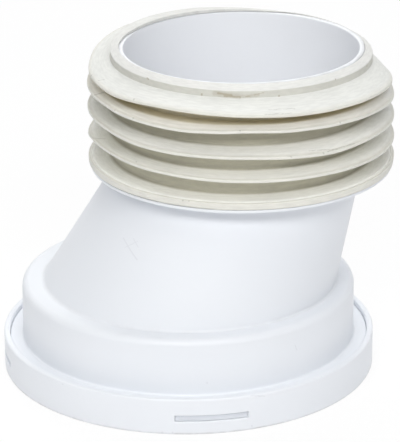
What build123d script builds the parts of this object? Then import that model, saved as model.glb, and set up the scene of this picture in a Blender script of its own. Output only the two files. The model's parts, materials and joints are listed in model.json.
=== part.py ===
"""Offset toilet cuff: a white plastic pan connector whose outlet stands beside its inlet.

It stands on its wide end. The origin is on the inlet axis, in the plane that the ring stands on, +Z points up
to the outlet and +X points the way the outlet is offset. All sizes are in millimetres, angles in degrees.
"""
import os
from math import degrees

from build123d import *

# Outlet spigot and the sideways step between the two axes
outlet_bore = 88.5
spigot_wall = 2.0
spigot_height = 44.3            # from the stop flange up to the rim
spigot_rim_chamfer = 0.5
axis_offset = 20.7              # from the inlet axis to the outlet axis

# Stop flange that the rubber sleeve sits on
stop_flange_thickness = 1.3
stop_flange_margin = 0.8        # the fins reach this far past it

# Slanting tube between the bell and the spigot
tube_height = 48.1              # from the shoulder up to the top of the stop flange
tube_wall = 2.4
tube_base_shift = 0.8           # the tube leaves the shoulder this far towards the outlet

# Bell that takes the toilet's outlet
bell_diameter = 128.1
bell_wall = 2.75
bell_height = 22.0              # from its foot flange up to the shoulder
shoulder_width = 7.6            # flat ring round the foot of the tube
shoulder_thickness = 2.8
shoulder_round = 2.6

# Foot flange and skirt of the bell, inside the retaining ring
foot_flange_width = 5.0
foot_flange_thickness = 2.2
foot_skirt_wall = 2.2
foot_skirt_gap = 1.4            # from the skirt's end down to the ring's floor

# Retaining ring
ring_wall = 2.4
ring_floor = 2.4
ring_rise = 1.8                 # its rim stands this far above the foot flange
ring_overhang = 5.0             # its floor reaches this far inside the bell's bore
ring_snap_gap = 0.15
ring_chamfer = 0.5

# Windows in the ring and the lugs that snap into them
window_count = 4
window_width = 27.2
window_height = 2.4
window_sill = 2.7               # from the ring's floor up to the window
window_chamfer = 0.3
first_window_direction = -83.0  # from +X towards +Y
lug_gap = 0.15                  # between a lug and the edges of its window
lug_recess = 0.8                # from a lug's face out to the ring's face
lug_ramp = 0.4                  # height of the sloping lead-in under the lug

# Lip seal clamped between the ring and the bell
seal_bead_width = 5.0
seal_bead_height = 7.6
seal_bead_gap = 0.2             # between the bead and the foot skirt
lip_bore = 91.0
lip_rise = 17.0                 # from the ring's floor up to the lip
lip_length = 3.0                # straight wall that grips the toilet's outlet
lip_wall = 2.0
membrane_depth = 2.6            # upright thickness of the membrane at the bead
membrane_lap = 0.7              # the membrane's top meets the lip this far above the lip's foot

# Finned rubber sleeve on the spigot
sleeve_fit = 0.1
sleeve_wall = 2.85
sleeve_proud = 0.5              # the sleeve stands this far above the spigot's rim
collar_height = 2.7
collar_slope = 1.8              # the collar's top falls this far from its bore to its side
collar_chamfer = 0.8
fin_reach = 8.8
fin_pitch = 9.3
fin_edge = 1.1
foot_fin_edge = 2.3             # the lowest fin is thicker
fin_root = 1.9
fin_droop = 1.0
first_fin_lift = 0.4            # from the stop flange up to the lowest fin
lead_in_reach = 8.1             # the lead-in skirt is a little narrower than the fins
lead_in_drop = 3.6              # fall of the lead-in skirt from the collar to its edge
lead_in_root = 2.4
lead_in_clearance = 3.0         # least gap between the top fin and the lead-in skirt

# Two levels this close together are the same level
level_tolerance = 0.01

# Levels, from the floor up
floor_top = ring_floor
flange_under = floor_top + seal_bead_height
flange_top = flange_under + foot_flange_thickness
ring_top = flange_top + ring_rise
shoulder_top = flange_top + bell_height
shoulder_under = shoulder_top - shoulder_thickness
seat_level = shoulder_top + tube_height
rim_level = seat_level + spigot_height
sleeve_top = rim_level + sleeve_proud
collar_side_top = sleeve_top - collar_slope
collar_foot = collar_side_top - collar_height
lead_in_edge_top = collar_foot - lead_in_drop
sill_level = floor_top + window_sill
lintel_level = sill_level + window_height

# Radii, from the outlet bore and the bell outwards
outlet_bore_radius = outlet_bore / 2
spigot_radius = outlet_bore_radius + spigot_wall
sleeve_bore_radius = spigot_radius + sleeve_fit
sleeve_core_radius = sleeve_bore_radius + sleeve_wall
fin_radius = sleeve_core_radius + fin_reach
lead_in_radius = sleeve_core_radius + lead_in_reach
stop_flange_radius = fin_radius - stop_flange_margin
bell_radius = bell_diameter / 2
bell_bore_radius = bell_radius - bell_wall
tube_base_radius = bell_radius - shoulder_width
tube_base_bore_radius = tube_base_radius - tube_wall
foot_flange_radius = bell_radius + foot_flange_width
foot_skirt_bore_radius = foot_flange_radius - foot_skirt_wall
ring_bore_radius = foot_flange_radius + ring_snap_gap
ring_radius = ring_bore_radius + ring_wall
ring_opening_radius = bell_bore_radius - ring_overhang
lug_radius = ring_radius - lug_recess
lip_radius = lip_bore / 2

# Spread of a window round the ring
window_angle = degrees(window_width / ring_radius)


def turned(corners, centre_x=0.0, arc=360.0):
    """Solid turned about the upright line through centre_x, from corners of (radius, level, chamfer)."""
    section = make_face(Polyline(*[(radius, level) for radius, level, size in corners], close=True))
    for radius, level, size in corners:
        if size:
            section = chamfer(section.vertices().sort_by_distance((radius, level))[0], size)
    return Pos(centre_x, 0, 0) * revolve(Plane.XZ * section, Axis.Z, revolution_arc=arc)


def sector(corners, angle):
    """Part of a turned solid, angle degrees wide and centred on +X."""
    return Rot(0, 0, -angle / 2) * turned(corners, arc=angle)


def slanting_cone(base_radius, top_radius):
    """Oblique cone frustum from the tube's foot on the shoulder up to the spigot."""
    base = Pos(tube_base_shift, 0, shoulder_top) * Circle(base_radius)
    top = Pos(axis_offset, 0, seat_level) * Circle(top_radius)
    return loft([base, top])


def at_each_window(shape):
    """Copies of a shape centred on +X, one for each window round the ring."""
    step = 360 / window_count
    return [Rot(0, 0, first_window_direction + step * i) * shape for i in range(window_count)]


def make_bell():
    """Bell, shoulder, foot flange and skirt, closed across the top until the tube is bored."""
    skirt_end = floor_top + foot_skirt_gap
    bell = turned([
        (0, shoulder_under, 0),
        (bell_bore_radius, shoulder_under, 0),
        (bell_bore_radius, flange_under, 0),
        (foot_skirt_bore_radius, flange_under, 0),
        (foot_skirt_bore_radius, skirt_end, 0),
        (foot_flange_radius, skirt_end, 0),
        (foot_flange_radius, flange_top, 0),
        (bell_radius, flange_top, 0),
        (bell_radius, shoulder_top, 0),
        (0, shoulder_top, 0),
    ])
    return fillet(bell.edges().filter_by(GeomType.CIRCLE).sort_by(Axis.Z)[-1], shoulder_round)


def make_stop_flange():
    """Disc round the top of the tube."""
    under = seat_level - stop_flange_thickness
    return turned([
        (0, under, 0),
        (stop_flange_radius, under, 0),
        (stop_flange_radius, seat_level, 0),
        (0, seat_level, 0),
    ], axis_offset)


def make_spigot():
    """Straight outlet spigot above the stop flange."""
    return turned([
        (outlet_bore_radius, seat_level, 0),
        (spigot_radius, seat_level, 0),
        (spigot_radius, rim_level, 0),
        (outlet_bore_radius, rim_level, spigot_rim_chamfer),
    ], axis_offset)


def make_lug():
    """Snap lug on the foot skirt: flat on top, with a sloping lead-in below."""
    root_radius = foot_flange_radius - foot_skirt_wall / 2
    bottom = sill_level + lug_gap
    top = lintel_level - lug_gap
    return sector([
        (root_radius, bottom, 0),
        (foot_flange_radius, bottom, 0),
        (lug_radius, bottom + lug_ramp, 0),
        (lug_radius, top, 0),
        (root_radius, top, 0),
    ], window_angle - degrees(2 * lug_gap / lug_radius))


def make_offset_body():
    """White moulding: bell, slanting tube, stop flange and outlet spigot, open right through."""
    body = make_bell() + slanting_cone(tube_base_radius, spigot_radius) + make_stop_flange()
    tube_foot_bore = Pos(tube_base_shift, 0, shoulder_top) * Cylinder(
        tube_base_bore_radius, shoulder_thickness, align=(Align.CENTER, Align.CENTER, Align.MAX))
    body -= tube_foot_bore
    body -= slanting_cone(tube_base_bore_radius, outlet_bore_radius)
    body += make_spigot()
    for lug in at_each_window(make_lug()):
        body += lug
    return body


def fin_corners(root_top, edge):
    """One drooping fin, from its underside at the core round its edge to its top at the core."""
    edge_top = root_top - fin_droop
    return [
        (sleeve_core_radius, root_top - fin_root - (edge - fin_edge), 0),
        (fin_radius, edge_top - edge, 0),
        (fin_radius, edge_top, 0),
        (sleeve_core_radius, root_top, 0),
    ]


def make_finned_sleeve():
    """Rubber sleeve: core, fins, lead-in skirt and a collar that stands proud of the spigot."""
    foot_fin_top = seat_level + first_fin_lift + foot_fin_edge + fin_droop
    lead_in_edge = lead_in_edge_top - fin_edge
    fin_room = lead_in_edge - lead_in_clearance + fin_droop - foot_fin_top
    fin_count = int(fin_room / fin_pitch) + 1

    corners = [(sleeve_bore_radius, seat_level, 0), (sleeve_core_radius, seat_level, 0)]
    corners += fin_corners(foot_fin_top, foot_fin_edge)
    for i in range(1, fin_count):
        corners += fin_corners(foot_fin_top + fin_pitch * i, fin_edge)
    corners += [
        (sleeve_core_radius, collar_foot - lead_in_root, 0),
        (lead_in_radius, lead_in_edge, 0),
        (lead_in_radius, lead_in_edge_top, 0),
        (sleeve_core_radius, collar_foot, 0),
        (sleeve_core_radius, collar_side_top, collar_chamfer),
        (sleeve_bore_radius, sleeve_top, 0),
    ]
    return turned(corners, axis_offset)


def make_retaining_ring():
    """Snap ring: floor that holds the seal, outer wall with a raised rim, and windows for the lugs."""
    ring = turned([
        (ring_opening_radius, 0, 0),
        (ring_radius, 0, ring_chamfer),
        (ring_radius, ring_top, ring_chamfer),
        (ring_bore_radius, ring_top, ring_chamfer),
        (ring_bore_radius, floor_top, 0),
        (ring_opening_radius, floor_top, 0),
    ])
    window = sector([
        (foot_flange_radius, sill_level, 0),
        (ring_radius + ring_wall, sill_level, 0),
        (ring_radius + ring_wall, lintel_level, 0),
        (foot_flange_radius, lintel_level, 0),
    ], window_angle)
    for cut in at_each_window(window):
        ring -= cut

    def on_window_mouth(edge):
        middle = edge @ 0.5
        on_face = Vector(middle.X, middle.Y).length > ring_radius - level_tolerance
        return on_face and sill_level - level_tolerance < middle.Z < lintel_level + level_tolerance

    return chamfer(ring.edges().filter_by(on_window_mouth), window_chamfer)


def make_inlet_lip_seal():
    """Lip seal: bead under the foot flange, and a membrane that slopes up to a straight gripping lip."""
    bead_outer = foot_skirt_bore_radius - seal_bead_gap
    bead_inner = bead_outer - seal_bead_width
    lip_foot = floor_top + lip_rise
    lip_top = lip_foot + lip_length
    lip_back = lip_radius + lip_wall
    return turned([
        (bead_outer, floor_top, 0),
        (bead_outer, flange_under, 0),
        (bell_bore_radius, flange_under, 0),
        (lip_back, lip_foot + membrane_lap, 0),
        (lip_back, lip_top, 0),
        (lip_radius, lip_top, 0),
        (lip_radius, lip_foot, 0),
        (bead_inner, flange_under - membrane_depth, 0),
        (bead_inner, floor_top, 0),
    ])


parts = {
    "offset_body": make_offset_body(),
    "finned_sleeve": make_finned_sleeve(),
    "retaining_ring": make_retaining_ring(),
    "inlet_lip_seal": make_inlet_lip_seal(),
}
os.makedirs("parts", exist_ok=True)
for name, part in parts.items():
    export_step(part, f"parts/{name}.step")
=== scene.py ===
"""Studio scene of the offset toilet cuff: white plastic body and ring, cream rubber sleeve and seal.

Each piece stands where its solid stands and keeps its form. Rounded edges, the bent and worn rubber
and the finishes are made here. Lengths are in metres, angles in degrees from +X towards +Y.
"""
import json
from collections import namedtuple
from math import atan2, ceil, cos, degrees, hypot, pi, radians, sin

import bmesh
import bpy
from mathutils import Matrix, Vector, noise


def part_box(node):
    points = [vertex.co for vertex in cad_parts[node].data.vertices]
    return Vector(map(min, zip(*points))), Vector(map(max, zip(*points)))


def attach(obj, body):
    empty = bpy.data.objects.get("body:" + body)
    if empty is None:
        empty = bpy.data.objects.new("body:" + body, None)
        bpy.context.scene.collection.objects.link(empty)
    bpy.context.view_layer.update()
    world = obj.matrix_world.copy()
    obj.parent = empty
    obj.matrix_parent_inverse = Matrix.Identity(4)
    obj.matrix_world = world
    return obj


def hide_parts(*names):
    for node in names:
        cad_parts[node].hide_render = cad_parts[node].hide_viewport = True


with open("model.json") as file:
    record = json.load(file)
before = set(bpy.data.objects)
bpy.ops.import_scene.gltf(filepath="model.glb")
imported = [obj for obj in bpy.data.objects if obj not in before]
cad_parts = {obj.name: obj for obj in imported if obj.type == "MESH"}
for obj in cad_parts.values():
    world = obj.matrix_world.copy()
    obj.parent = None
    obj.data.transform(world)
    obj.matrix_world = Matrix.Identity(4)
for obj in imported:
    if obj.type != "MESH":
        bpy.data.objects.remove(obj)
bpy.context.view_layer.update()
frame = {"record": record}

MM = 0.001
SAME_PLACE = 0.02 * MM          # two places this close together are one place
MERGE_GAP = SAME_PLACE / 4      # vertices this close together are merged
TURN_SLACK = 0.2                # degrees, under the step from one vertex to the next
SMOOTH_ANGLE = 35               # edges that turn by less are shaded smooth

# Levels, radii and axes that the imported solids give
body_low, body_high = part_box("offset_body")
sleeve_low, sleeve_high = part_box("finned_sleeve")
ring_low, ring_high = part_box("retaining_ring")
seal_low, seal_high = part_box("inlet_lip_seal")
mounts = {mount["name"]: mount for mount in frame["record"]["mounts"]}
OUTLET_X = (sleeve_low.x + sleeve_high.x) / 2
FIN_RADIUS = (sleeve_high.x - sleeve_low.x) / 2
RING_RADIUS = (ring_high.x - ring_low.x) / 2
SEAT_LEVEL = sleeve_low.z
SLEEVE_TOP = sleeve_high.z
RIM_LEVEL = body_high.z
RING_TOP = ring_high.z
RING_FLOOR = seal_low.z
SKIRT_END = body_low.z
LIP_TOP = seal_high.z
RING_OPENING = mounts["pan_inlet"]["dims"]["r_mm"] * MM
LIP_RADIUS = mounts["pan_seal_lip"]["dims"]["r_mm"] * MM

# Outlet spigot, stop flange and slanting tube
OUTLET_BORE_RADIUS = 44.25 * MM
SPIGOT_RADIUS = OUTLET_BORE_RADIUS + 2.0 * MM
STOP_FLANGE_RADIUS = FIN_RADIUS - 0.8 * MM
STOP_FLANGE_THICKNESS = 1.3 * MM
TUBE_BASE_SHIFT = 0.8 * MM
TUBE_WALL = 2.4 * MM

# Bell, its shoulder and its foot
BELL_RADIUS = 64.05 * MM
BELL_BORE_RADIUS = BELL_RADIUS - 2.75 * MM
SHOULDER_LEVEL = 34.2 * MM
SHOULDER_UNDER = SHOULDER_LEVEL - 2.8 * MM
TUBE_BASE_RADIUS = BELL_RADIUS - 7.6 * MM
FOOT_RADIUS = BELL_RADIUS + 5.0 * MM
FOOT_TOP = RING_TOP - 1.8 * MM
FOOT_UNDER = FOOT_TOP - 2.2 * MM
FOOT_SKIRT_WALL = 2.2 * MM

# Windows of the ring, and the lugs in them
RING_BORE_RADIUS = RING_RADIUS - 2.4 * MM
WINDOW_COUNT = 4
FIRST_WINDOW = -83
WINDOW_SPREAD = 22              # degrees round the ring
WINDOW_SILL = RING_FLOOR + 2.7 * MM
WINDOW_LINTEL = WINDOW_SILL + 2.4 * MM
WINDOW_ROUNDING = 0.35 * MM
LUG_RADIUS = RING_RADIUS - 0.8 * MM
LUG_GAP = 0.15 * MM
LUG_RAMP = 0.05 * MM            # height of the lug's sloping lead-in

# Rubber sleeve
SLEEVE_BORE_RADIUS = SPIGOT_RADIUS + 0.1 * MM
CORE_RADIUS = SLEEVE_BORE_RADIUS + 2.85 * MM
FIN_REACH = FIN_RADIUS - CORE_RADIUS
FIN_PITCH = 9.3 * MM
FIN_COUNT = 4
FIN_EDGE = 1.1 * MM
FOOT_FIN_EDGE = 2.3 * MM
FIN_ROOT = 1.9 * MM
FIN_DROOP = 1.0 * MM
FIN_SPACE_BELOW = 0.75          # share of the space under a fin that belongs to that fin
FOOT_FIN_GAP = 0.4 * MM         # between the flange and the lowest fin's underside
FOOT_FIN_TOP = SEAT_LEVEL + FOOT_FIN_GAP + FOOT_FIN_EDGE + FIN_DROOP
COLLAR_TOP = SLEEVE_TOP - 1.8 * MM
COLLAR_FOOT = COLLAR_TOP - 2.7 * MM
SKIRT_RADIUS = FIN_RADIUS - 0.7 * MM
SKIRT_EDGE_TOP = COLLAR_FOOT - 3.6 * MM
SKIRT_ROOT = 2.4 * MM
COLLAR_LIP = RIM_LEVEL + 0.12 * MM   # above this level the collar can lean over the plastic rim
LONGEST_SLEEVE_EDGE = 1.5 * MM

# Lip seal
BEAD_GAP = 0.2 * MM
BEAD_WIDTH = 5.0 * MM
BEAD_NECK = 2.6 * MM
LIP_HEIGHT = 3.0 * MM
LIP_THICKNESS = 2.0 * MM
LIP_BACK_STEP = 0.7 * MM        # the membrane's top meets the lip this much above its underside
LONGEST_SEAL_EDGE = 3.0 * MM

# Camera of the photograph
CAMERA_TARGET = Vector((4.785, 0, 56.359)) * MM
CAMERA_DISTANCE = 1.0343
CAMERA_ELEVATION = 21.04
CAMERA_ROLL = -0.435
CAMERA_LENS = 219.56

# Studio light and floor
WHITE = (1, 1, 1, 1)
FLOOR_SIZE = 6
FLOOR_GREY = (0.90, 0.90, 0.91, 1)
FLOOR_SHADOW = 0.12             # share of the object's shadow that shows on the white floor
FILL_COLOUR = (0.965, 0.98, 1.0, 1)
FILL_LOW = 0.26
FILL_HIGH = 0.88
FILL_FROM = Vector((0.0, 0.9, 0.45)).normalized()
SoftBox = namedtuple("SoftBox", "name turn elevation width height energy")
SOFT_BOXES = (
    SoftBox("key_box", -90, 36, 1.4, 0.3, 12.8),
    SoftBox("top_box", -90, 70, 1.0, 0.6, 2.8),
    SoftBox("back_box", 90, 55, 0.6, 0.6, 5.0),
)
BOX_DISTANCE = 1.5
BOX_COLOUR = (1.0, 0.995, 0.985)

ROUND_STEPS = 360               # steps round the plastic pieces and the seal, one to a degree
SLEEVE_STEPS = 432
CORNER_STEPS = 4                # steps in the rounding of a section's corner

Ring = namedtuple("Ring", "radius level centre")


# Modelling steps
def start_selection(piece, kind):
    """In edit mode, deselects everything and gives the mesh to select in."""
    bpy.ops.mesh.select_mode(type=kind)
    bpy.ops.mesh.select_all(action="DESELECT")
    return bmesh.from_edit_mesh(piece.data)


def select_edges(piece, wanted):
    """In edit mode, selects only the edges whose two ends are both wanted."""
    shape = start_selection(piece, "EDGE")
    for edge in shape.edges:
        if all(wanted(vert.co) for vert in edge.verts):
            edge.select_set(True)
    bmesh.update_edit_mesh(piece.data)


def select_faces(piece, wanted):
    """In edit mode, selects only the faces whose middle is wanted."""
    shape = start_selection(piece, "FACE")
    for face in shape.faces:
        if wanted(face.calc_center_median()):
            face.select_set(True)
    bmesh.update_edit_mesh(piece.data)


def select_corners(piece, wanted):
    """In edit mode, selects only the wanted vertices."""
    shape = start_selection(piece, "VERT")
    for vert in shape.verts:
        if wanted(vert.co):
            vert.select_set(True)
    bmesh.update_edit_mesh(piece.data)


def on_ring(place, ring):
    """Whether a place lies on a ring."""
    off_radius = abs(hypot(place.x - ring.centre, place.y) - ring.radius)
    return off_radius < SAME_PLACE and abs(place.z - ring.level) < SAME_PLACE


def turn_from(direction, place):
    """Angle from a direction round the Z axis to a place, from -180 to 180."""
    return (degrees(atan2(place.y, place.x)) - direction + 180) % 360 - 180


def window_directions():
    """Where the windows and the lugs face."""
    return [FIRST_WINDOW + 360 / WINDOW_COUNT * i for i in range(WINDOW_COUNT)]


def grow_rings(name, rings):
    """Closed shell: a circle of edges extruded from ring to ring, the last bridged to the first."""
    bpy.ops.object.select_all(action="DESELECT")
    first = rings[0]
    bpy.ops.mesh.primitive_circle_add(
        vertices=ROUND_STEPS, radius=first.radius, location=(first.centre, 0, first.level))
    piece = bpy.context.object
    piece.name = name
    bpy.ops.object.transform_apply(location=True, rotation=True, scale=True)
    bpy.ops.object.mode_set(mode="EDIT")
    bpy.ops.mesh.select_mode(type="EDGE")
    bpy.ops.mesh.select_all(action="SELECT")
    for last, ring in zip(rings, rings[1:]):
        step = (ring.centre - last.centre, 0, ring.level - last.level)
        growth = ring.radius / last.radius
        middle = (ring.centre, 0, ring.level)
        bpy.ops.mesh.extrude_edges_move(TRANSFORM_OT_translate={"value": step})
        bpy.ops.transform.resize(value=(growth, growth, 1), center_override=middle)
    select_edges(piece, lambda place: on_ring(place, rings[0]) or on_ring(place, rings[-1]))
    bpy.ops.mesh.bridge_edge_loops()
    bpy.ops.mesh.select_all(action="SELECT")
    bpy.ops.mesh.normals_make_consistent(inside=False)
    return piece


def round_off(size, steps, affect="EDGES"):
    """In edit mode, rounds the selected edges or vertices."""
    bpy.ops.mesh.bevel(offset=size, offset_type="OFFSET", segments=steps, profile=0.5, affect=affect)


def round_ring(piece, ring, size, steps):
    """In edit mode, rounds the edge along a ring."""
    select_edges(piece, lambda place: on_ring(place, ring))
    round_off(size, steps)


def draw_section(name, corners):
    """Closed outline drawn corner by corner in the plane behind the Z axis, its corners rounded."""
    bpy.ops.object.select_all(action="DESELECT")
    places = [Vector((0, radius, level)) for radius, level, rounding in corners]
    bpy.ops.mesh.primitive_plane_add(size=MM, location=places[0])
    piece = bpy.context.object
    piece.name = name
    bpy.ops.object.transform_apply(location=True, rotation=True, scale=True)
    bpy.ops.object.mode_set(mode="EDIT")
    bpy.ops.mesh.select_mode(type="VERT")
    bpy.ops.mesh.select_all(action="SELECT")
    bpy.ops.mesh.merge(type="CENTER")
    for last, place in zip(places, places[1:]):
        bpy.ops.mesh.extrude_region_move(TRANSFORM_OT_translate={"value": place - last})
    ends = (places[0], places[-1])
    select_corners(piece, lambda place: any((place - end).length < SAME_PLACE for end in ends))
    bpy.ops.mesh.edge_face_add()
    for size in sorted({rounding for radius, level, rounding in corners if rounding}):
        alike = [place for place, corner in zip(places, corners) if corner[2] == size]
        select_corners(piece, lambda place: any((place - one).length < SAME_PLACE for one in alike))
        round_off(size, CORNER_STEPS, affect="VERTICES")
    return piece


def split_long_edges(piece, longest):
    """In edit mode, divides the outline's straight runs into lengths no longer than this."""
    shape = bmesh.from_edit_mesh(piece.data)
    cuts_needed = sorted({ceil(edge.calc_length() / longest) - 1 for edge in shape.edges})
    for cuts in cuts_needed:
        if cuts < 1:
            continue
        shape = start_selection(piece, "EDGE")
        for edge in shape.edges:
            if ceil(edge.calc_length() / longest) - 1 == cuts:
                edge.select_set(True)
        bmesh.update_edit_mesh(piece.data)
        bpy.ops.mesh.subdivide(number_cuts=cuts)


def turn_section(piece, centre, steps):
    """Turns the outline once round the Z axis, and moves what that gives to its own axis."""
    bpy.ops.object.mode_set(mode="OBJECT")
    bpy.ops.object.modifier_add(type="SCREW")
    turn = piece.modifiers[-1]
    turn.axis = "Z"
    turn.angle = 2 * pi
    turn.steps = steps
    turn.render_steps = steps
    turn.use_merge_vertices = True
    turn.merge_threshold = MERGE_GAP
    bpy.ops.object.modifier_apply(modifier=turn.name)
    bpy.ops.object.mode_set(mode="EDIT")
    bpy.ops.mesh.select_all(action="SELECT")
    bpy.ops.mesh.normals_make_consistent(inside=False)
    bpy.ops.transform.translate(value=(centre, 0, 0))


def finish_piece(piece, node, material):
    """Leaves edit mode, smooths the shading, gives the finish and lets the piece replace its solid."""
    bpy.ops.object.mode_set(mode="OBJECT")
    bpy.ops.object.shade_smooth_by_angle(angle=radians(SMOOTH_ANGLE))
    bpy.ops.object.modifier_add(type="WEIGHTED_NORMAL")
    piece.modifiers[-1].keep_sharp = True
    bpy.ops.object.modifier_apply(modifier=piece.modifiers[-1].name)
    piece.data.materials.append(material)
    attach(piece, "root")
    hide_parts(node)


# Pieces
def tube_ring(base_radius, top_radius, level):
    """Ring of the slanting tube at a level between the shoulder and the seat of the sleeve."""
    rise = (level - SHOULDER_LEVEL) / (SEAT_LEVEL - SHOULDER_LEVEL)
    radius = base_radius + (top_radius - base_radius) * rise
    centre = TUBE_BASE_SHIFT + (OUTLET_X - TUBE_BASE_SHIFT) * rise
    return Ring(radius, level, centre)


def make_body(material):
    """White moulding: spigot, stop flange, slanting tube, bell and foot, open right through."""
    flange_under = SEAT_LEVEL - STOP_FLANGE_THICKNESS
    tube_base_bore = TUBE_BASE_RADIUS - TUBE_WALL
    lug_top = WINDOW_LINTEL - LUG_GAP
    lug_bottom = WINDOW_SILL + LUG_GAP
    skirt_bore = FOOT_RADIUS - FOOT_SKIRT_WALL
    rim_inner = Ring(OUTLET_BORE_RADIUS, RIM_LEVEL, OUTLET_X)
    rim_outer = Ring(SPIGOT_RADIUS, RIM_LEVEL, OUTLET_X)
    flange_top_edge = Ring(STOP_FLANGE_RADIUS, SEAT_LEVEL, OUTLET_X)
    flange_under_edge = Ring(STOP_FLANGE_RADIUS, flange_under, OUTLET_X)
    tube_top = tube_ring(TUBE_BASE_RADIUS, SPIGOT_RADIUS, flange_under)
    tube_foot = Ring(TUBE_BASE_RADIUS, SHOULDER_LEVEL, TUBE_BASE_SHIFT)
    shoulder_edge = Ring(BELL_RADIUS, SHOULDER_LEVEL, 0)
    bell_foot = Ring(BELL_RADIUS, FOOT_TOP, 0)
    foot_edge = Ring(FOOT_RADIUS, FOOT_TOP, 0)
    body = grow_rings("offset_body_skin", [
        rim_inner,
        rim_outer,
        Ring(SPIGOT_RADIUS, SEAT_LEVEL, OUTLET_X),
        flange_top_edge,
        flange_under_edge,
        tube_top,
        tube_foot,
        shoulder_edge,
        bell_foot,
        foot_edge,
        Ring(FOOT_RADIUS, lug_top, 0),
        Ring(FOOT_RADIUS, lug_bottom + LUG_RAMP, 0),
        Ring(FOOT_RADIUS, lug_bottom, 0),
        Ring(FOOT_RADIUS, SKIRT_END, 0),
        Ring(skirt_bore, SKIRT_END, 0),
        Ring(skirt_bore, FOOT_UNDER, 0),
        Ring(BELL_BORE_RADIUS, FOOT_UNDER, 0),
        Ring(BELL_BORE_RADIUS, SHOULDER_UNDER, 0),
        Ring(tube_base_bore, SHOULDER_UNDER, TUBE_BASE_SHIFT),
        Ring(tube_base_bore, SHOULDER_LEVEL, TUBE_BASE_SHIFT),
        Ring(OUTLET_BORE_RADIUS, SEAT_LEVEL, OUTLET_X),
    ])
    for direction in window_directions():
        raise_lug(body, direction, lug_bottom, lug_top)
    for ring, size, steps in (
        (rim_inner, 0.6 * MM, 5),
        (rim_outer, 0.45 * MM, 4),
        (flange_top_edge, 0.35 * MM, 3),
        (flange_under_edge, 0.35 * MM, 3),
        (tube_top, 0.8 * MM, 4),
        (tube_foot, 1.0 * MM, 5),
        (shoulder_edge, 2.6 * MM, 10),
        (bell_foot, 0.8 * MM, 4),
        (foot_edge, 0.15 * MM, 2),
    ):
        round_ring(body, ring, size, steps)
    bpy.ops.object.mode_set(mode="OBJECT")
    mark_tone(body, body_tone)
    bpy.ops.object.mode_set(mode="EDIT")
    finish_piece(body, "offset_body", material)


# Tone of the plastic: above 0 painted light, in the bore and a little on the whole ring; below 0 painted
# shade, on the lugs in the windows
BORE_LIGHT_TONE = 1.0
LINTEL_SHADE_TONE = -1.0
SILL_SHADE_TONE = -0.4
RING_LIGHT_TONE = 0.15


def mark_tone(piece, tone_at):
    """Writes the tone of the plastic at each vertex."""
    tones = piece.data.attributes.new("tone", "FLOAT", "POINT")
    for vert in piece.data.vertices:
        tones.data[vert.index].value = tone_at(vert.co)


def body_tone(place):
    """Painted light in the spigot and the tube, painted shade on the lugs, darkest under the window's
    lintel.
    """
    spigot_middle = (OUTLET_BORE_RADIUS + SPIGOT_RADIUS) / 2
    middle = tube_ring(TUBE_BASE_RADIUS - TUBE_WALL / 2, spigot_middle, min(place.z, SEAT_LEVEL))
    if place.z > SHOULDER_LEVEL and hypot(place.x - middle.centre, place.y) < middle.radius:
        return BORE_LIGHT_TONE
    if hypot(place.x, place.y) > (FOOT_RADIUS + LUG_RADIUS) / 2 and place.z < FOOT_UNDER:
        return LINTEL_SHADE_TONE if place.z > (WINDOW_SILL + WINDOW_LINTEL) / 2 else SILL_SHADE_TONE
    return 0.0


def raise_lug(body, direction, bottom, top):
    """Snap lug drawn out of the foot skirt's wall, with a sloping lead-in at its bottom."""
    out = LUG_RADIUS / FOOT_RADIUS
    half = WINDOW_SPREAD / 2

    def on_lug(place):
        on_wall = hypot(place.x, place.y) > FOOT_RADIUS - FOOT_SKIRT_WALL / 2
        return on_wall and bottom < place.z < top and abs(turn_from(direction, place)) < half

    def raised(place):
        near = abs(turn_from(direction, place)) < WINDOW_SPREAD
        level = bottom - SAME_PLACE < place.z < top + SAME_PLACE
        return near and level and hypot(place.x, place.y) > FOOT_RADIUS + SAME_PLACE

    def at_end(place, end):
        return raised(place) and turn_from(direction, place) * end > half - TURN_SLACK

    select_faces(body, on_lug)
    bpy.ops.mesh.extrude_region_move()
    bpy.ops.transform.resize(value=(out, out, 1), center_override=(0, 0, 0))
    for end in (-1, 1):
        across = Vector((sin(radians(direction)), -cos(radians(direction)), 0)) * end * LUG_GAP
        select_corners(body, lambda place: at_end(place, end))
        bpy.ops.transform.translate(value=across)
    select_corners(body, lambda place: raised(place) and abs(place.z - bottom) < SAME_PLACE)
    bpy.ops.transform.resize(value=(1 / out, 1 / out, 1), center_override=(0, 0, 0))
    bpy.ops.mesh.select_all(action="SELECT")
    bpy.ops.mesh.remove_doubles(threshold=MERGE_GAP)


def make_ring(material):
    """Snap ring: floor, outer wall with a raised rim, and windows that the lugs show in."""
    floor_edge = Ring(RING_RADIUS, 0, 0)
    rim_outer = Ring(RING_RADIUS, RING_TOP, 0)
    rim_inner = Ring(RING_BORE_RADIUS, RING_TOP, 0)
    opening_edge = Ring(RING_OPENING, 0, 0)
    ring = grow_rings("retaining_ring_skin", [
        opening_edge,
        floor_edge,
        Ring(RING_RADIUS, WINDOW_SILL, 0),
        Ring(RING_RADIUS, WINDOW_LINTEL, 0),
        rim_outer,
        rim_inner,
        Ring(RING_BORE_RADIUS, WINDOW_LINTEL, 0),
        Ring(RING_BORE_RADIUS, WINDOW_SILL, 0),
        Ring(RING_BORE_RADIUS, RING_FLOOR, 0),
        Ring(RING_OPENING, RING_FLOOR, 0),
    ])
    for direction in window_directions():
        open_window(ring, direction)
    for edge, size, steps in (
        (floor_edge, 0.6 * MM, 4),
        (rim_outer, 0.8 * MM, 5),
        (rim_inner, 0.6 * MM, 4),
        (opening_edge, 0.6 * MM, 4),
    ):
        round_ring(ring, edge, size, steps)
    bpy.ops.object.mode_set(mode="OBJECT")
    mark_tone(ring, lambda place: RING_LIGHT_TONE)
    bpy.ops.object.mode_set(mode="EDIT")
    finish_piece(ring, "retaining_ring", material)


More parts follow.
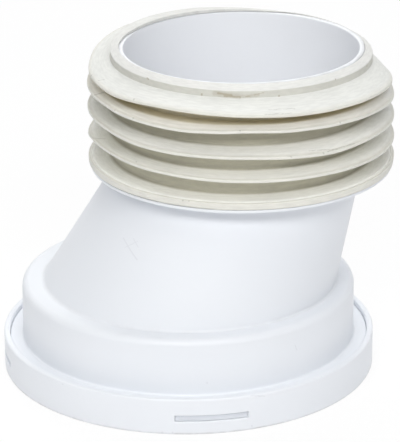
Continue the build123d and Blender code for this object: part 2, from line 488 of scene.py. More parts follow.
def open_window(ring, direction):
    """Window cut through the ring's wall, with its outer mouth rounded."""
    def in_window(place, turn_slack=0, level_slack=0):
        on_wall = hypot(place.x, place.y) > RING_BORE_RADIUS - MM
        beside = abs(turn_from(direction, place)) < WINDOW_SPREAD / 2 + turn_slack
        return on_wall and beside and WINDOW_SILL - level_slack < place.z < WINDOW_LINTEL + level_slack

    def on_frame(place):
        return in_window(place, TURN_SLACK, SAME_PLACE)

    def on_mouth(place):
        return on_frame(place) and hypot(place.x, place.y) > RING_RADIUS - SAME_PLACE

    select_faces(ring, in_window)
    bpy.ops.mesh.delete(type="FACE")
    select_edges(ring, on_frame)
    bpy.ops.mesh.bridge_edge_loops()
    select_edges(ring, on_mouth)
    round_off(WINDOW_ROUNDING, 3)


def fin_corners(root_top):
    """Outline of a fin, from its underside at the core round its edge to its top at the core."""
    edge_top = root_top - FIN_DROOP
    return [
        (CORE_RADIUS, root_top - FIN_ROOT, 0.7 * MM),
        (FIN_RADIUS, edge_top - FIN_EDGE, 0.35 * MM),
        (FIN_RADIUS, edge_top, 0.45 * MM),
        (CORE_RADIUS, root_top, 0.5 * MM),
    ]


def foot_fin_corners():
    """Outline of the lowest fin: thicker, close over the flange and grooved near its edge."""
    edge_top = FOOT_FIN_TOP - FIN_DROOP
    return [
        (CORE_RADIUS, edge_top - FOOT_FIN_EDGE, 0),
        (FIN_RADIUS, edge_top - FOOT_FIN_EDGE, 0.6 * MM),
        (FIN_RADIUS, edge_top, 0.4 * MM),
        (FIN_RADIUS - 1.1 * MM, edge_top + 0.1 * MM, 0.15 * MM),
        (FIN_RADIUS - 1.5 * MM, edge_top - 0.15 * MM, 0.1 * MM),
        (FIN_RADIUS - 1.9 * MM, edge_top + 0.22 * MM, 0.15 * MM),
        (CORE_RADIUS, FOOT_FIN_TOP, 0.5 * MM),
    ]


def make_sleeve(material):
    """Cream rubber sleeve: core, four fins, lead-in skirt and collar, bent a little out of true."""
    corners = [(SLEEVE_BORE_RADIUS, SEAT_LEVEL, 0), (CORE_RADIUS, SEAT_LEVEL, 0)]
    corners += foot_fin_corners()
    for i in range(1, FIN_COUNT):
        corners += fin_corners(FOOT_FIN_TOP + FIN_PITCH * i)
    corners += [
        (CORE_RADIUS, COLLAR_FOOT - SKIRT_ROOT, 0.7 * MM),
        (SKIRT_RADIUS, SKIRT_EDGE_TOP - FIN_EDGE, 0.3 * MM),
        (SKIRT_RADIUS, SKIRT_EDGE_TOP, 0.4 * MM),
        (CORE_RADIUS, COLLAR_FOOT, 0.2 * MM),
        (CORE_RADIUS, COLLAR_TOP, 0.3 * MM),
        (SLEEVE_BORE_RADIUS, SLEEVE_TOP, 0.3 * MM),
        (SLEEVE_BORE_RADIUS, COLLAR_LIP, 0),
        (SLEEVE_BORE_RADIUS, RIM_LEVEL, 0),
    ]
    sleeve = draw_section("finned_sleeve_skin", corners)
    split_long_edges(sleeve, LONGEST_SLEEVE_EDGE)
    turn_section(sleeve, OUTLET_X, SLEEVE_STEPS)
    bpy.ops.object.mode_set(mode="OBJECT")
    bend_rubber(sleeve)
    bpy.ops.object.mode_set(mode="EDIT")
    finish_piece(sleeve, "finned_sleeve", material)


# How far each rubber edge stands above its true level, in millimetres, at angles round the sleeve
COLLAR_BEND = (
    (-180, 0.5), (-135, 0.2), (-90, -0.25), (-45, -0.5), (0, -0.8),
    (30, -0.6), (55, -0.1), (75, 0.3), (100, 0.9), (130, 1.0), (155, 0.9),
)
COLLAR_ROLL = (
    (-180, 0.6), (-150, 0.1), (-90, 0.0), (0, 0.0), (60, 0.1), (90, 0.8), (115, 1.7), (150, 1.7),
)
FOOT_FIN_BEND = ((-180, 0.2), (-135, 0.3), (-90, 0.05), (0, -0.1), (90, 0.0), (150, -0.3))
SECOND_FIN_BEND = (
    (-180, -0.3), (-172, 0.8), (-164, 1.7), (-152, 1.8), (-137, 1.0), (-115, 0.3), (-93, -0.25),
    (-62, -0.7), (-38, -1.0), (-20, -1.4), (0, -1.5), (60, -0.4), (120, 0.3), (150, -0.7),
)
THIRD_FIN_BEND = (
    (-180, 1.3), (-152, 1.05), (-143, 0.4), (-130, -0.5), (-100, -0.7), (-84, -0.9),
    (-70, -1.7), (-56, -2.4), (-38, -1.9), (0, -2.5), (60, -0.8), (120, 0.8),
)
TOP_FIN_BEND = (
    (-180, 1.2), (-151, 0.7), (-143, 0.0), (-125, -0.65), (-110, -0.8), (-97, -0.3), (-89, 0.0),
    (-76, -0.5), (-60, -1.0), (-38, -1.7), (-25, -2.4), (0, -3.8), (40, -2.5), (90, 0.5), (135, 1.2),
)
SKIRT_BEND = (
    (-180, 0.5), (-160, 0.1), (-145, -0.4), (-124, 0.55), (-105, 0.1), (-90, -0.5),
    (-66, -1.5), (-45, -1.9), (-25, -2.6), (0, -4.8), (20, -6.3), (38, -6.1),
    (65, -1.8), (90, 1.5), (118, 3.5), (135, 5.4), (150, 4.7), (165, 3.1),
)
EDGE_BENDS = (FOOT_FIN_BEND, SECOND_FIN_BEND, THIRD_FIN_BEND, TOP_FIN_BEND, SKIRT_BEND)

# How far the lowest fin's underside sags outside the flange, in millimetres
FOOT_FIN_SAG = ((-180, 0.0), (-60, 0.0), (-40, -0.1), (-20, -0.6), (0, -0.9), (60, -0.6), (120, 0.0))

# How far the collar's top leans in over the plastic rim, in millimetres
COLLAR_LEAN = (
    (-180, 0.5), (-160, 0.1), (-90, 0.0), (0, 0.0), (55, 0.0),
    (66, 0.7), (76, 1.9), (95, 2.2), (150, 2.2), (166, 1.3),
)

# How bent rubber moves
FIN_CURVE = 1.4                 # a fin bends more towards its edge, the skirt evenly
HANG_DRAW = 0.16                # how far an edge that hangs is drawn in, as a share of its fall
SAG_DRAW = 0.6                  # how far the sagging underside goes in, as a share of its sag
RIM_HOLD = 0.1 * MM             # the bore's edge rises no more than this at the plastic rim
FOOT_FIN_SETTLE = 0.3 * MM      # the lowest fin's underside has settled this much
RIPPLE_HEIGHT = 0.12 * MM
RIPPLE_SCALE = 90
RIPPLE_CLIMB = 3                # ripples are this much finer upwards than round the sleeve


def fin_at(level):
    """Fin that a level belongs to: 0 is the lowest, and FIN_COUNT is the skirt."""
    return min(FIN_COUNT, max(0, int((level - FOOT_FIN_TOP) / FIN_PITCH + FIN_SPACE_BELOW)))


def bend_at(bend, angle):
    """Rise of an edge at an angle round the sleeve: a smooth curve through the bend's points."""
    count = len(bend)
    after = next((i for i, point in enumerate(bend) if point[0] > angle), count)
    turns = []
    rises = []
    for i in range(after - 2, after + 2):
        turn, rise = bend[i % count]
        turns.append(turn + 360 * (i // count))
        rises.append(rise)
    span = turns[2] - turns[1]
    share = (angle - turns[1]) / span
    leaving = (rises[2] - rises[0]) / (turns[2] - turns[0]) * span
    arriving = (rises[3] - rises[1]) / (turns[3] - turns[1]) * span
    ease = share * share * (3 - 2 * share)
    rise = rises[1] + (rises[2] - rises[1]) * ease
    rise += leaving * share * (1 - share) ** 2 - arriving * share ** 2 * (1 - share)
    return rise * MM


def add_rubber_layers(piece):
    """Adds what the rubber's finish reads at each vertex: its true place and its tint."""
    layers = piece.data.attributes
    layers.new("true_place", "FLOAT_VECTOR", "POINT")
    layers.new("tint", "FLOAT_COLOR", "POINT")
    return layers["true_place"].data, layers["tint"].data


def bend_rubber(sleeve):
    """Moves the rubber out of true, and keeps its true place and its tint for the finish."""
    places, tints = add_rubber_layers(sleeve)
    height = SLEEVE_TOP - SEAT_LEVEL
    roll_foot = COLLAR_FOOT - SKIRT_ROOT
    for vert in sleeve.data.vertices:
        across = vert.co.x - OUTLET_X
        radius = hypot(across, vert.co.y)
        level = vert.co.z
        angle = degrees(atan2(vert.co.y, across))
        places[vert.index].vector = (across, vert.co.y, level)
        tints[vert.index].color = rubber_tint(radius, level)
        rise = bend_at(COLLAR_BEND, angle) * max(0, (level - SEAT_LEVEL) / height) ** 2
        outward = min(1, (radius - SLEEVE_BORE_RADIUS) / (CORE_RADIUS - SLEEVE_BORE_RADIUS))
        drawn_in = 0
        if level > roll_foot:
            rolled = min(1, (level - roll_foot) / (COLLAR_TOP - roll_foot))
            rise += bend_at(COLLAR_ROLL, angle) * outward * rolled
        if level > COLLAR_LIP - SAME_PLACE:
            drawn_in = bend_at(COLLAR_LEAN, angle) * (1 - outward)
        if outward < ON_WALL and abs(level - (COLLAR_LIP + RIM_LEVEL) / 2) < RIM_HOLD:
            rise = min(rise, RIM_HOLD)
        reach = (radius - CORE_RADIUS) / FIN_REACH
        if reach > 0:
            fin = fin_at(level)
            curve = 1 if fin == FIN_COUNT else FIN_CURVE
            bent = (bend_at(EDGE_BENDS[fin], angle) - rise) * reach ** curve
            drawn_in += HANG_DRAW * max(0, -bent)
            ripple = noise.noise(Vector((across, vert.co.y, level * RIPPLE_CLIMB)) * RIPPLE_SCALE)
            rise += bent + RIPPLE_HEIGHT * ripple * reach
        if level < FOOT_FIN_TOP:
            from_under = min(1, max(0, (level - SEAT_LEVEL - FOOT_FIN_GAP) / FOOT_FIN_EDGE))
            if rise < 0:
                rise *= from_under
            if reach > 0:
                rise -= FOOT_FIN_SETTLE * (1 - from_under)
            if radius > STOP_FLANGE_RADIUS:
                sag = bend_at(FOOT_FIN_SAG, angle) * (1 - from_under)
                rise += sag
                drawn_in -= SAG_DRAW * sag
        vert.co.x -= drawn_in * across / radius
        vert.co.y -= drawn_in * vert.co.y / radius
        vert.co.z += rise


# Tints of the rubber: painted light on the fin tops; painted shade on the collar's wall, the core in the
# gaps, the roots and the undersides; the skirt's shadow painted brown beneath it
COLLAR_CREAM = (0.77, 0.77, 0.74)
COLLAR_WALL_SHADE = (0.62, 0.615, 0.56)
SKIRT_CREAM = (0.79, 0.795, 0.76)
EDGE_CREAM = (0.75, 0.74, 0.68)
FIN_TOP_LIGHT = (0.945, 0.945, 0.91)
CORE_SHADE = (0.62, 0.60, 0.49)
CORE_DEEP_SHADE = (0.46, 0.44, 0.345)
ROOT_SHADE = (0.47, 0.45, 0.37)
SKIRT_SHADOW_BROWN = (0.56, 0.52, 0.40)
SHADED_BROWN = (0.72, 0.64, 0.45)

# Where one tint gives way to the next: depths under a top face, and shares of the way out to a fin's edge
COLLAR_SKIN = 0.25 * MM
SKIRT_SKIN = 0.3 * MM
FIN_SKIN = 0.5 * MM
ON_WALL = 0.01                  # below this share is the wall
ON_EDGE = 0.94                  # above this share is the fin's edge
Fade = namedtuple("Fade", "start width")
SKIRT_FADE = Fade(0.75, 0.2)
FIN_FADE = Fade(0.02, 0.12)
TOP_FIN_FADE = Fade(0.34, 0.1)
UNDERSIDE_FADE = Fade(0.6, 0.4)
ROOT_FADE = Fade(0, 1.5 * MM)
BROWN_FADE = Fade(0, 4.0 * MM)


def blend(first, second, value, fade):
    """Colour that eases from the first to the second while a value goes through a fade."""
    share = min(1, max(0, (value - fade.start) / fade.width))
    ease = share * share * (3 - 2 * share)
    return tuple(a + (b - a) * ease for a, b in zip(first, second))


def skirt_level(radius):
    """True level of the lead-in skirt's top at a radius."""
    fall = (radius - CORE_RADIUS) / (SKIRT_RADIUS - CORE_RADIUS)
    return COLLAR_FOOT - (COLLAR_FOOT - SKIRT_EDGE_TOP) * fall


def fin_level(fin, reach):
    """True level of a fin's top at a share of the way out to its edge."""
    return FOOT_FIN_TOP + FIN_PITCH * fin - FIN_DROOP * reach


def rubber_tint(radius, level):
    """Colour of the rubber at a true radius and level, with its painted light and shade."""
    reach = (radius - CORE_RADIUS) / FIN_REACH
    if level > skirt_level(max(radius, CORE_RADIUS)) - SKIRT_SKIN:
        if level > COLLAR_TOP - COLLAR_SKIN:
            colour = COLLAR_CREAM
        # Painted shade: the collar's upright wall darker than its top
        elif reach < ON_WALL:
            colour = COLLAR_WALL_SHADE
        else:
            colour = blend(SKIRT_CREAM, EDGE_CREAM, reach, SKIRT_FADE)
        return (*colour, 1)
    rows = (level - FOOT_FIN_TOP) / FIN_PITCH
    over_top_fin = rows > FIN_COUNT - 1
    fin = fin_at(level)
    above = level - fin_level(fin, max(0, reach))
    # Painted shade on the core's wall in the gaps, deeper in the upper gaps
    wall = CORE_DEEP_SHADE if rows > FIN_COUNT - 2 else CORE_SHADE
    # Painted shadow of the skirt, in brown: on the core's wall over the top fin and on the inner part of
    # that fin's top
    if over_top_fin:
        wall = blend(SKIRT_SHADOW_BROWN, SHADED_BROWN, (rows - FIN_COUNT + 1) * FIN_PITCH, BROWN_FADE)
    if reach > ON_EDGE:
        colour = EDGE_CREAM
    # Painted shade at the roots, fading up the core's wall
    elif reach < ON_WALL:
        near_root = abs(rows - round(rows)) * FIN_PITCH
        colour = blend(SKIRT_SHADOW_BROWN if over_top_fin else ROOT_SHADE, wall, near_root, ROOT_FADE)
    # Painted light on the fin tops, rising from painted shade at the root
    elif above > -FIN_SKIN and fin < FIN_COUNT - 1:
        colour = blend(ROOT_SHADE, FIN_TOP_LIGHT, reach, FIN_FADE)
    # The top fin: the skirt's painted shadow on its inner part, painted light outside it
    elif above > -FIN_SKIN and fin == FIN_COUNT - 1:
        colour = blend(SKIRT_SHADOW_BROWN, FIN_TOP_LIGHT, reach, TOP_FIN_FADE)
    # Painted shade on the undersides, deepest at the core
    else:
        colour = blend(wall, EDGE_CREAM, reach, UNDERSIDE_FADE)
    return (*colour, 1)


def make_seal(material):
    """Lip seal held by the ring: bead, sloping membrane and a straight lip."""
    bead_outer = FOOT_RADIUS - FOOT_SKIRT_WALL - BEAD_GAP
    bead_inner = bead_outer - BEAD_WIDTH
    lip_foot = LIP_TOP - LIP_HEIGHT
    lip_back = LIP_RADIUS + LIP_THICKNESS
    seal = draw_section("inlet_lip_seal_skin", [
        (bead_outer, RING_FLOOR, 0.4 * MM),
        (bead_outer, FOOT_UNDER, 0.4 * MM),
        (BELL_BORE_RADIUS, FOOT_UNDER, 0.8 * MM),
        (lip_back, lip_foot + LIP_BACK_STEP, 1.5 * MM),
        (lip_back, LIP_TOP, 0.8 * MM),
        (LIP_RADIUS, LIP_TOP, 0.8 * MM),
        (LIP_RADIUS, lip_foot, 1.0 * MM),
        (bead_inner, FOOT_UNDER - BEAD_NECK, 1.2 * MM),
        (bead_inner, RING_FLOOR, 0.4 * MM),
    ])
    split_long_edges(seal, LONGEST_SEAL_EDGE)
    turn_section(seal, 0, ROUND_STEPS)
    bpy.ops.object.mode_set(mode="OBJECT")
    places, tints = add_rubber_layers(seal)
    for vert in seal.data.vertices:
        places[vert.index].vector = vert.co
        tints[vert.index].color = (*SKIRT_CREAM, 1)
    bpy.ops.object.mode_set(mode="EDIT")
    finish_piece(seal, "inlet_lip_seal", material)


# Finishes
def add_node(tree, kind, inputs, **settings):
    """Adds a shader node; inputs gives each socket a value or another node's output."""
    made = tree.nodes.new(kind)
    for key, value in settings.items():
        setattr(made, key, value)
    for socket, value in inputs.items():
        if isinstance(value, bpy.types.NodeSocket):
            tree.links.new(value, made.inputs[socket])
        else:
            made.inputs[socket].default_value = value
    return made


def new_finish(name):
    """Material with nothing in it but its surface shader."""
    material = bpy.data.materials.new(name)
    material.use_nodes = True
    tree = material.node_tree
    return material, tree, tree.nodes["Principled BSDF"]


def number_math(tree, operation, first, second=0.0):
    """Result of a sum on two numbers."""
    return add_node(tree, "ShaderNodeMath", {0: first, 1: second}, operation=operation).outputs[0]


def vector_math(tree, operation, first, second=(0, 0, 0)):
    """Result of a sum on two vectors."""
    made = add_node(tree, "ShaderNodeVectorMath", {0: first, 1: second}, operation=operation)
    gives_number = operation in ("DOT_PRODUCT", "DISTANCE", "LENGTH")
    return made.outputs["Value" if gives_number else "Vector"]


def ramp(tree, value, low, high, start=0.0, end=1.0):
    """Eases from one value to another while the input goes from low to high."""
    made = add_node(tree, "ShaderNodeMapRange", {
        "Value": value, "From Min": low, "From Max": high, "To Min": start, "To Max": end},
        interpolation_type="SMOOTHSTEP")
    return made.outputs["Result"]


def mix_colour(tree, amount, first, second):
    """Colour between two colours."""
    colours = {"Factor": amount, "A": first, "B": second}
    return add_node(tree, "ShaderNodeMix", colours, data_type="RGBA").outputs["Result"]


def laid_over(tree, colour, mask, strength, cover):
    """Colour with a stain, a mark or painted shade laid over it where the mask is, at a strength from 0
    to 1.
    """
    return mix_colour(tree, number_math(tree, "MULTIPLY", mask, strength), colour, cover)


def noise_node(tree, place, scale, detail):
    """Soft noise round each place."""
    return add_node(tree, "ShaderNodeTexNoise", {"Vector": place, "Scale": scale, "Detail": detail})


def noise_at(tree, place, scale, detail):
    """Soft noise as a number from 0 to 1."""
    return noise_node(tree, place, scale, detail).outputs["Fac"]


def roughened(tree, place, scale, reach):
    """Places moved a little at random, so that marks get uneven edges."""
    drawn = noise_node(tree, place, scale, 3.0).outputs["Color"]
    shift = vector_math(tree, "SUBTRACT", drawn, (0.5, 0.5, 0.5))
    shift = vector_math(tree, "MULTIPLY", shift, (reach, reach, reach))
    return vector_math(tree, "ADD", place, shift)


def near_ring(tree, place, ring, reach):
    """1 on a ring, falling to 0 at a distance from it."""
    offset = vector_math(tree, "SUBTRACT", place, (ring.centre, 0, ring.level))
    flat = vector_math(tree, "LENGTH", vector_math(tree, "MULTIPLY", offset, (1, 1, 0)))
    beside = number_math(tree, "SUBTRACT", flat, ring.radius)
    above = vector_math(tree, "DOT_PRODUCT", offset, (0, 0, 1))
    away = add_node(tree, "ShaderNodeCombineXYZ", {"X": beside, "Y": above}).outputs[0]
    return ramp(tree, vector_math(tree, "LENGTH", away), 0.0, reach, 1.0, 0.0)


def mark_mask(tree, place, marks):
    """1 on the marks, each a stroke between two places."""
    mask = 0.0
    for start, end, width in marks:
        offset = vector_math(tree, "SUBTRACT", place, start)
        run = end - start
        if run.length > SAME_PLACE:
            share = vector_math(tree, "DOT_PRODUCT", offset, run / run.length_squared)
            share = add_node(tree, "ShaderNodeClamp", {"Value": share}).outputs[0]
            offset = vector_math(tree, "SUBTRACT", offset, vector_math(tree, "MULTIPLY", share, run))
        one = ramp(tree, vector_math(tree, "LENGTH", offset), width * 0.25, width * 0.65, 1.0, 0.0)
        mask = number_math(tree, "MAXIMUM", mask, one)
    return mask


def round_place(ring, turn):
    """Place on a ring at an angle."""
    across = ring.radius * cos(radians(turn))
    back = ring.radius * sin(radians(turn))
    return Vector((ring.centre + across, back, ring.level))


def on_tube(turn, level):
    """Place on the outside of the slanting tube."""
    return round_place(tube_ring(TUBE_BASE_RADIUS, SPIGOT_RADIUS, level * MM), turn)


def on_bell(turn, level):
    """Place on the bell's wall."""
    return round_place(Ring(BELL_RADIUS, level * MM, 0), turn)


def on_snap_ring(turn, level):
    """Place on the snap ring's wall."""
    return round_place(Ring(RING_RADIUS, level * MM, 0), turn)


def on_fin(fin, turn, radius):
    """True place on the top of a fin, about the sleeve's axis; fin 0 is the lowest."""
    reach = (radius * MM - CORE_RADIUS) / FIN_REACH
    return round_place(Ring(radius * MM, fin_level(fin, reach), 0), turn)


def on_skirt(turn, radius):
    """True place on the top of the lead-in skirt."""
    return round_place(Ring(radius * MM, skirt_level(radius * MM), 0), turn)


def on_collar(turn, level):
    """True place on the collar's wall."""
    return round_place(Ring(CORE_RADIUS, level * MM, 0), turn)


def speck(place, width):
    """Round mark."""
    return place, place, width * MM


def stroke(start, end, width):
    """Long mark."""
    return start, end, width * MM


def add_bump(tree, shader, height, strength, depth):
    """Gives the shader a fine relief."""
    bump = add_node(tree, "ShaderNodeBump", {"Height": height, "Strength": strength, "Distance": depth})
    tree.links.new(bump.outputs["Normal"], shader.inputs["Normal"])


# Colours of the plastic, of the painted light and shade on it, and of the dirt on plastic and rubber
PLASTIC_COOL = (0.84, 0.867, 0.907, 1)
PLASTIC_PALE = (0.865, 0.887, 0.922, 1)
PLASTIC_LIT = (0.952, 0.968, 1.0, 1)
PLASTIC_SHADED = (0.67, 0.70, 0.755, 1)
SHADE_GREY = (0.52, 0.51, 0.50, 1)
SCRATCH_GREY = (0.50, 0.51, 0.55, 1)
DIRT_BROWN = (0.36, 0.31, 0.22, 1)
DIRT_GREY = (0.33, 0.32, 0.28, 1)


def make_white_plastic():
    """Glossy cool white plastic: faint orange peel, uneven gloss, a few scratches, painted shade in
    corners, joints and recesses and a little on the upper part, and painted light in the bore and on the
    ring.
    """
    material, tree, shader = new_finish("white_plastic")
    place = add_node(tree, "ShaderNodeTexCoord", {}).outputs["Object"]
    cloud = noise_at(tree, place, scale=30.0, detail=3.0)
    colour = mix_colour(tree, cloud, PLASTIC_COOL, PLASTIC_PALE)
    # Painted shade: the plastic darkens a little from 24 mm to 38 mm up and stays darker above
    height = vector_math(tree, "DOT_PRODUCT", place, (0, 0, 1))
    dimmed_upwards = ramp(tree, height, low=24 * MM, high=38 * MM, start=1.0, end=0.96)
    colour = vector_math(tree, "MULTIPLY", colour, dimmed_upwards)
    tone = add_node(tree, "ShaderNodeAttribute", {}, attribute_name="tone").outputs["Fac"]
    # Painted light: the bore of the spigot and the tube, and a little the whole ring, made lighter
    colour = mix_colour(tree, number_math(tree, "MAXIMUM", tone, 0.0), colour, PLASTIC_LIT)
    # Painted shade: the lugs' faces in the windows darkened, most under the lintel
    shaded_share = number_math(tree, "MAXIMUM", number_math(tree, "MULTIPLY", tone, -1.0), 0.0)
    colour = mix_colour(tree, shaded_share, colour, PLASTIC_SHADED)
    blotches = noise_at(tree, place, scale=160.0, detail=4.0)
    patchy = ramp(tree, blotches, low=0.35, high=0.65, start=0.3, end=1.0)
    # Painted shade, in blotches: at the joint of the spigot's rim and the rubber, the tube's foot, the
    # bell's foot and the ring's bottom edge
    for ring, reach, strength in (
        (Ring(SPIGOT_RADIUS, RIM_LEVEL, OUTLET_X), 2.1 * MM, 0.6),
        (Ring(TUBE_BASE_RADIUS, SHOULDER_LEVEL, TUBE_BASE_SHIFT), 2.0 * MM, 0.12),
        (Ring(BELL_RADIUS, FOOT_TOP, 0), 1.6 * MM, 0.05),
        (Ring(RING_RADIUS, 0, 0), 1.2 * MM, 0.75),
    ):
        corner_shade = number_math(tree, "MULTIPLY", near_ring(tree, place, ring, reach), patchy)
        colour = laid_over(tree, colour, corner_shade, strength, SHADE_GREY)
    scratched = mark_mask(tree, roughened(tree, place, scale=900.0, reach=0.5 * MM), [
        stroke(on_tube(-136.4, 63.2), on_tube(-130.8, 60.6), 0.5),
        stroke(on_tube(-130.8, 60.6), on_tube(-124.3, 57.6), 0.6),
        stroke(on_tube(-131.3, 64.1), on_tube(-126.8, 61.8), 0.4),
        stroke(on_tube(-133.0, 60.4), on_tube(-128.5, 63.6), 0.35),
        speck(on_bell(-83.8, 17.2), 0.8),
        stroke(on_bell(-50.9, 23.9), on_bell(-51.8, 26.2), 0.4),
        speck(on_snap_ring(-97.7, 0.7), 0.9),
        speck(on_snap_ring(-94.7, 0.9), 0.8),
        stroke(on_snap_ring(-71.6, 13.8), on_snap_ring(-66.9, 12.8), 0.5),
        speck(on_snap_ring(-130.5, 12.8), 0.8),
        speck(on_snap_ring(-46, 14), 0.8),
        speck(on_snap_ring(-71, 1.5), 0.9),
    ])
    colour = laid_over(tree, colour, scratched, 0.2, SCRATCH_GREY)
    tree.links.new(colour, shader.inputs["Base Color"])
    roughness = ramp(tree, cloud, low=0.3, high=0.7, start=0.36, end=0.47)
    roughness = number_math(tree, "ADD", roughness, number_math(tree, "MULTIPLY", scratched, 0.2))
    tree.links.new(roughness, shader.inputs["Roughness"])
    peel = noise_at(tree, place, scale=420.0, detail=2.0)
    add_bump(tree, shader, peel, strength=0.12, depth=0.1 * MM)
    return material


def make_cream_rubber():
    """Matt cream rubber over its tint of painted light and shade: flow lines round the axis, mottling,
    fine grain, cracks and specks of dirt.
    """
    material, tree, shader = new_finish("cream_rubber")
    place = add_node(tree, "ShaderNodeAttribute", {}, attribute_name="true_place").outputs["Vector"]
    # The tint carries painted light on the fin tops and painted shade on the collar's wall, in the gaps,
    # at the roots and under the skirt
    colour = add_node(tree, "ShaderNodeAttribute", {}, attribute_name="tint").outputs["Color"]
    flat = vector_math(tree, "MULTIPLY", place, (1, 1, 0))
    facing = vector_math(tree, "NORMALIZE", flat)
    height = vector_math(tree, "DOT_PRODUCT", place, (0, 0, 1))
    section = number_math(tree, "SUBTRACT", vector_math(tree, "LENGTH", flat), height)
    along = vector_math(tree, "MULTIPLY", facing, (13, 13, 0))
    lift = vector_math(tree, "MULTIPLY", section, (0, 0, 1100))
    streaks = noise_at(tree, vector_math(tree, "ADD", along, lift), scale=1.0, detail=4.0)
    mottle = noise_at(tree, place, scale=70.0, detail=5.0)
    streaked = ramp(tree, streaks, low=0.3, high=0.7, start=0.95, end=1.035)
    mottled = ramp(tree, mottle, low=0.3, high=0.7, start=0.98, end=1.02)
    colour = vector_math(tree, "MULTIPLY", colour, number_math(tree, "MULTIPLY", streaked, mottled))
    worn = roughened(tree, place, scale=700.0, reach=0.9 * MM)
    smudge = mark_mask(tree, worn, [
        stroke(on_collar(-102, 124.0), on_collar(-92, 123.1), 2.2),
        stroke(on_collar(-92, 123.1), on_collar(-84, 123.6), 1.4),
    ])
    colour = laid_over(tree, colour, smudge, 0.3, DIRT_BROWN)
    brown = mark_mask(tree, worn, [
        stroke(on_collar(-100.5, 124.0), on_collar(-95, 123.4), 0.9),
        stroke(on_collar(-98, 123.1), on_collar(-91.5, 122.9), 0.7),
        stroke(on_collar(-89, 123.0), on_collar(-81.4, 124.4), 0.4),
        speck(on_collar(-107.6, 123.0), 0.9),
        speck(on_collar(-75, 122.6), 0.9),
        speck(on_collar(-20.5, 124.4), 0.9),
        stroke(on_collar(-135, 125.3), on_collar(-134, 125.0), 0.6),
        speck(on_collar(-47, 125.2), 0.7),
    ])
    grey = mark_mask(tree, worn, [
        speck(on_skirt(-134, 56.8), 0.9),
        stroke(on_skirt(-160, 56.3), on_skirt(-158, 54.8), 0.5),
        speck(on_skirt(-168, 57.2), 1.0),
        stroke(on_skirt(-80.6, 54.9), on_skirt(-70.5, 55.0), 0.35),
        stroke(on_skirt(-82.5, 57.0), on_skirt(-72.4, 56.8), 0.35),
        speck(on_fin(3, -133.6, 57.8), 0.9),
        speck(on_fin(3, -144, 57.6), 0.8),
        stroke(on_fin(3, -161, 57.6), on_fin(3, -162.5, 53.7), 0.8),
        speck(on_fin(3, -52.8, 57.8), 0.9),
        speck(on_fin(3, -91.4, 57.6), 0.8),
        stroke(on_fin(2, -65, 55.8), on_fin(2, -53.6, 57.5), 0.4),
        stroke(on_fin(2, -58, 57.5), on_fin(2, -45, 57.5), 0.4),
        speck(on_fin(2, -60, 58.0), 1.0),
        speck(on_fin(2, -72.8, 58.0), 1.0),
        speck(on_fin(1, -134, 56.0), 0.8),
        stroke(on_fin(1, -164, 57.6), on_fin(1, -163, 53.5), 0.8),
        speck(on_fin(0, -112.5, 58.0), 0.8),
        speck(on_fin(0, -110, 58.0), 0.8),
    ])
    colour = laid_over(tree, colour, brown, 0.65, DIRT_BROWN)
    colour = laid_over(tree, colour, grey, 0.4, DIRT_GREY)
    tree.links.new(colour, shader.inputs["Base Color"])
    roughness = ramp(tree, mottle, low=0.3, high=0.7, start=0.55, end=0.7)
    tree.links.new(roughness, shader.inputs["Roughness"])
    grain = number_math(tree, "ADD", noise_at(tree, place, scale=1800.0, detail=3.0), streaks)
    grain = number_math(tree, "SUBTRACT", grain, number_math(tree, "ADD", brown, grey))
    add_bump(tree, shader, grain, strength=0.35, depth=0.12 * MM)
    return material


# Studio
def seen_white(tree):
    """1 for rays that show the background: from the camera, mirrored or seen through glass."""
    path = add_node(tree, "ShaderNodeLightPath", {})
    shown = path.outputs["Is Camera Ray"]
    for name in ("Is Glossy Ray", "Is Transmission Ray"):
        shown = number_math(tree, "MAXIMUM", shown, path.outputs[name])
    return shown


def mix_shaders(tree, amount, first, second):
    """Shader between two shaders."""
    return add_node(tree, "ShaderNodeMixShader", {0: amount, 1: first.outputs[0], 2: second.outputs[0]})


def add_floor():
    """Pale floor that shows white, with a faint shadow of the object."""
    bpy.ops.object.select_all(action="DESELECT")
    bpy.ops.mesh.primitive_plane_add(size=FLOOR_SIZE)
    floor = bpy.context.object
    floor.name = "floor"
    material, tree, shader = new_finish("pale_floor")
    tree.nodes.remove(shader)
    dull = add_node(tree, "ShaderNodeBsdfDiffuse", {"Color": FLOOR_GREY})
    pale = add_node(tree, "ShaderNodeBsdfDiffuse", {"Color": WHITE})
    white = add_node(tree, "ShaderNodeEmission", {"Color": WHITE, "Strength": 1.0})
    shown = mix_shaders(tree, FLOOR_SHADOW, white, pale)
    ground = mix_shaders(tree, seen_white(tree), dull, shown)
    tree.links.new(ground.outputs[0], tree.nodes["Material Output"].inputs["Surface"])
    floor.data.materials.append(material)


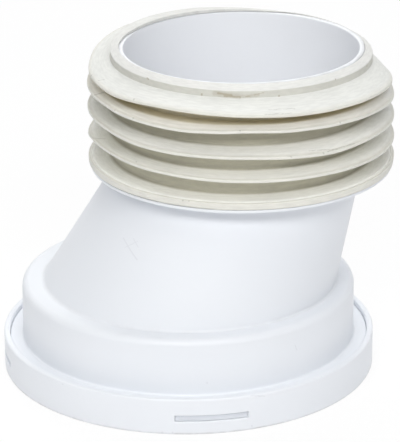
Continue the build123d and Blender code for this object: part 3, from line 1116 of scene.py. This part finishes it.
def add_world():
    """White fill light, strongest from above and behind, and a white background."""
    world = bpy.data.worlds.new("studio")
    bpy.context.scene.world = world
    world.use_nodes = True
    tree = world.node_tree
    fill = tree.nodes["Background"]
    fill.inputs["Color"].default_value = FILL_COLOUR
    direction = add_node(tree, "ShaderNodeTexCoord", {}).outputs["Generated"]
    towards = vector_math(tree, "DOT_PRODUCT", direction, FILL_FROM)
    strength = add_node(tree, "ShaderNodeMapRange", {
        "Value": towards, "From Min": 0.0, "From Max": 1.0, "To Min": FILL_LOW, "To Max": FILL_HIGH})
    tree.links.new(strength.outputs["Result"], fill.inputs["Strength"])
    white = add_node(tree, "ShaderNodeBackground", {"Color": WHITE, "Strength": 1.0})
    mixed = mix_shaders(tree, seen_white(tree), fill, white)
    tree.links.new(mixed.outputs[0], tree.nodes["World Output"].inputs["Surface"])


def add_soft_boxes():
    """Wide soft box above the camera, a weak one high over it and one behind the object."""
    aim = Vector((OUTLET_X / 2, 0, RIM_LEVEL / 2))
    for box in SOFT_BOXES:
        data = bpy.data.lights.new(box.name, "AREA")
        data.shape = "RECTANGLE"
        data.size = box.width
        data.size_y = box.height
        data.energy = box.energy
        data.color = BOX_COLOUR
        azimuth = radians(box.turn)
        elevation = radians(box.elevation)
        away = Vector((cos(azimuth) * cos(elevation), sin(azimuth) * cos(elevation), sin(elevation)))
        turned = away.to_track_quat("Z", "Y").to_matrix().to_4x4()
        lamp = bpy.data.objects.new(box.name, data)
        lamp.matrix_world = Matrix.Translation(aim + away * BOX_DISTANCE) @ turned
        bpy.context.scene.collection.objects.link(lamp)


def add_camera():
    """Camera of the photograph: looks along +Y, down on the object."""
    tilt = Matrix.Rotation(radians(90 - CAMERA_ELEVATION), 4, "X")
    roll = Matrix.Rotation(radians(CAMERA_ROLL), 4, "Z")
    data = bpy.data.cameras.new("camera")
    data.lens = CAMERA_LENS
    data.clip_end = 10
    camera = bpy.data.objects.new("camera", data)
    back = tilt.to_3x3() @ Vector((0, 0, CAMERA_DISTANCE))
    camera.matrix_world = Matrix.Translation(CAMERA_TARGET + back) @ tilt @ roll
    bpy.context.scene.collection.objects.link(camera)
    bpy.context.scene.camera = camera


white_plastic = make_white_plastic()
make_body(white_plastic)
make_ring(white_plastic)
cream_rubber = make_cream_rubber()
make_sleeve(cream_rubber)
make_seal(cream_rubber)
add_floor()
add_world()
add_soft_boxes()
add_camera()
bpy.context.scene.view_settings.view_transform = "Standard"
